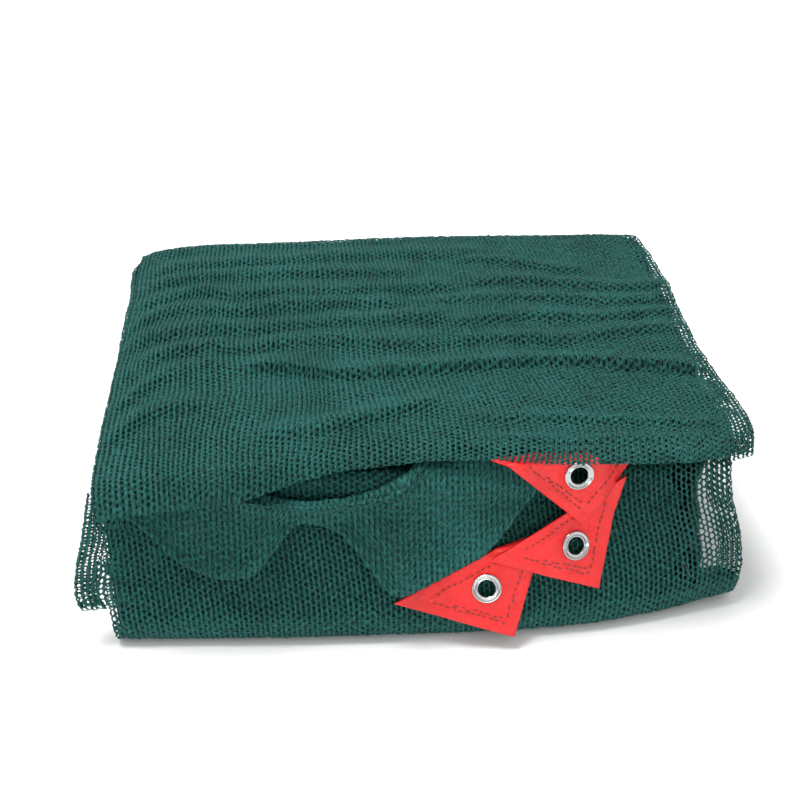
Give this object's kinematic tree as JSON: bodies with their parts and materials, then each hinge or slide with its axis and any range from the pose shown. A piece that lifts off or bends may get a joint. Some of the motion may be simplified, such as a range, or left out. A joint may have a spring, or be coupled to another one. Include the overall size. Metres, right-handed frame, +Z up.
{
  "type": "folded olive harvest net",
  "caption": "Knitted ground net folded into a flat rectangular pack, with coated corner patches and metal eyelets hanging from its front.",
  "frame": {"origin": "middle of the box at its lowest point, on the surface the pack rests on", "axes": "+X along the long side of the pack, -Y towards the front with the corner patches, +Z up"},
  "size_m": [0.471, 0.3854, 0.131],
  "materials": {
    "net": "dark green knitted polyethylene monofilament, slightly glossy",
    "patch": "glossy red coated tarpaulin, stitched in dark green",
    "eyelet": "bright pressed metal"
  },
  "bodies": {
    "root": {"net": "net", "patch_lower": "patch", "eyelet_lower": "eyelet", "patch_middle": "patch", "eyelet_middle": "eyelet", "patch_upper": "patch", "eyelet_upper": "eyelet"}
  },
  "joints": []
}
